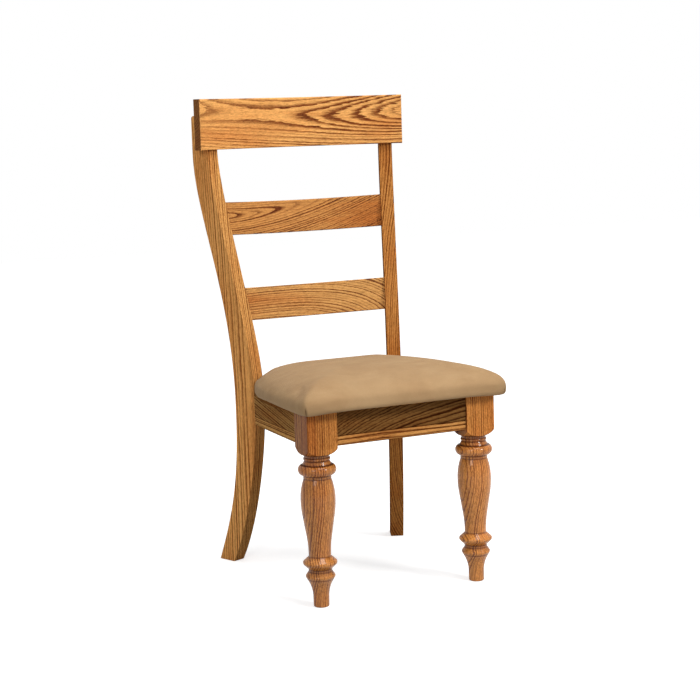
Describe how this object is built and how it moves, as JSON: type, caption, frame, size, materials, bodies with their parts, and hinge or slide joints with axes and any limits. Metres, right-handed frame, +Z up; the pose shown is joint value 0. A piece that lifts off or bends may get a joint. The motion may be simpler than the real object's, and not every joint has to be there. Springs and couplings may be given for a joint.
{
  "type": "ladderback chair",
  "caption": "Wooden dining side chair with a tall curved ladder back, turned front legs and a crowned upholstered seat.",
  "frame": {"origin": "bottom centre of the bounding box, on the floor", "axes": "+X to the right of someone who faces the chair's front, +Y to its back, +Z up; the front faces -Y"},
  "size_m": [0.5238, 0.5821, 1.067],
  "materials": {
    "oak": "golden brown stained oak, satin lacquer",
    "block_wood": "plain unstained hardwood",
    "plywood": "raw plywood",
    "foam": "open-cell seat foam",
    "cover_fabric": "tan brushed upholstery fabric",
    "dust_fabric": "black woven dust cloth",
    "steel": "zinc-plated steel"
  },
  "bodies": {
    "root": {"rear_post_left": "oak", "rear_post_right": "oak", "crest_rail": "oak", "upper_slat": "oak", "lower_slat": "oak", "front_leg_left": "oak", "front_leg_right": "oak", "front_rail": "oak", "rear_rail": "oak", "side_rail_left": "oak", "side_rail_right": "oak", "corner_block_front_left": "block_wood", "corner_block_front_right": "block_wood", "corner_block_rear_left": "block_wood", "corner_block_rear_right": "block_wood", "corner_block_screws": "steel", "seat_screws": "steel", "crest_screws": "steel", "crest_screw_plugs": "oak", "seat_board": "plywood", "seat_foam": "foam", "seat_cover": "cover_fabric", "dust_cover": "dust_fabric"}
  },
  "joints": []
}
